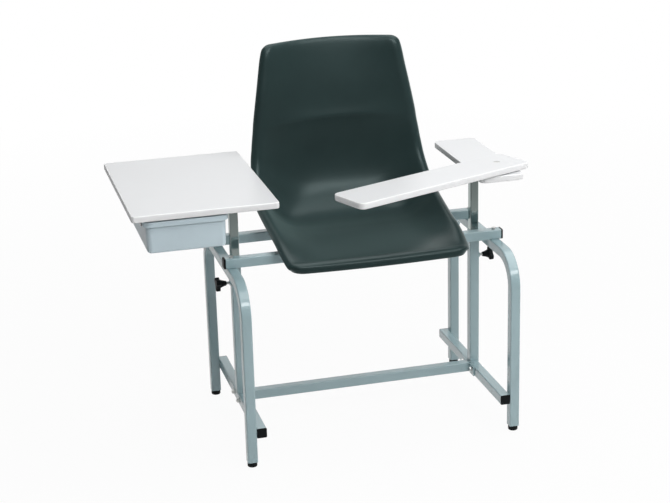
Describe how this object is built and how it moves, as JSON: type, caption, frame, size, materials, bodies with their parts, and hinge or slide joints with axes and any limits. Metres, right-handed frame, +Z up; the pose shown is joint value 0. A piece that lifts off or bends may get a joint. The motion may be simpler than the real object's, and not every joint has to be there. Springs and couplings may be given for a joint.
{
  "type": "phlebotomy chair",
  "caption": "Blood drawing chair: moulded seat shell on a square tube frame, with a height-adjustable tray and drawer on one side and a swivel arm board on the other.",
  "frame": {"origin": "on the floor, midway between the four feet", "axes": "+X towards the arm column (viewer's right), +Y towards the rear of the chair, which faces -Y, +Z up"},
  "size_m": [1.009, 0.6262, 0.9695],
  "materials": {
    "frame_paint": "gloss blue-grey enamel",
    "black_plastic": "satin black moulded plastic",
    "zinc": "bright zinc plate",
    "chrome": "polished chrome plate",
    "shell_plastic": "dark greenish charcoal moulded plastic with a fine grain",
    "laminate": "white plastic laminate over board",
    "edging": "white satin plastic edging",
    "bin_plastic": "pale blue-grey moulded plastic"
  },
  "bodies": {
    "frame": {"left_side_tube": "frame_paint", "right_side_tube": "frame_paint", "left_base_rail": "frame_paint", "right_base_rail": "frame_paint", "base_rail_end_caps": "black_plastic", "left_post": "frame_paint", "right_post": "frame_paint", "post_weld_nuts": "frame_paint", "stretcher": "frame_paint", "stretcher_end_plates": "frame_paint", "stretcher_bolts": "zinc", "stretcher_nuts": "zinc", "front_crossbar": "frame_paint", "rear_crossbar": "frame_paint", "crossbar_end_caps": "black_plastic", "crossbar_bolts": "zinc", "crossbar_nuts": "zinc", "floor_glides": "black_plastic", "seat_shell": "shell_plastic", "seat_bosses": "black_plastic", "seat_bolts": "zinc"},
    "tray_support": {"tray_column": "chrome", "tray_column_plug": "black_plastic", "tray_plate": "frame_paint", "tray_screws": "zinc", "tray_board": "laminate", "tray_edge_band": "edging", "drawer_runners": "zinc", "runner_screws": "zinc"},
    "drawer": {"drawer_bin": "bin_plastic"},
    "arm_support": {"arm_column": "chrome", "arm_column_plug": "black_plastic", "arm_plate": "frame_paint", "arm_screws": "zinc", "arm_base_board": "laminate", "arm_base_edge_band": "edging", "pivot_bolt": "zinc", "pivot_nut": "zinc", "pivot_washer": "black_plastic"},
    "swivel_blade": {"arm_blade": "laminate", "arm_blade_edge_band": "edging"},
    "left_knob": {"left_clamp_knob": "black_plastic", "left_knob_stud": "zinc"},
    "right_knob": {"right_clamp_knob": "black_plastic", "right_knob_stud": "zinc"}
  },
  "joints": [
    {"name": "tray_height", "type": "slide", "parent": "frame", "child": "tray_support", "axis": [0, 0, 1], "range_m": [-0.12, 0.1]},
    {"name": "drawer_slide", "type": "slide", "parent": "tray_support", "child": "drawer", "axis": [0, -1, 0], "range_m": [0, 0.25]},
    {"name": "arm_height", "type": "slide", "parent": "frame", "child": "arm_support", "axis": [0, 0, 1], "range_m": [-0.12, 0.1]},
    {"name": "blade_swivel", "type": "hinge", "parent": "arm_support", "child": "swivel_blade", "pos_m": [0.3279, -0.151, 0.69075], "axis": [0, 0, 1], "range_deg": [-35, 230]},
    {"name": "left_knob_turn", "type": "hinge", "parent": "frame", "child": "left_knob", "pos_m": [-0.36, 0, 0.404], "axis": [-1, 0, 0], "range_deg": [0, 720]},
    {"name": "right_knob_turn", "type": "hinge", "parent": "frame", "child": "right_knob", "pos_m": [0.36, 0, 0.404], "axis": [1, 0, 0], "range_deg": [0, 720]}
  ]
}
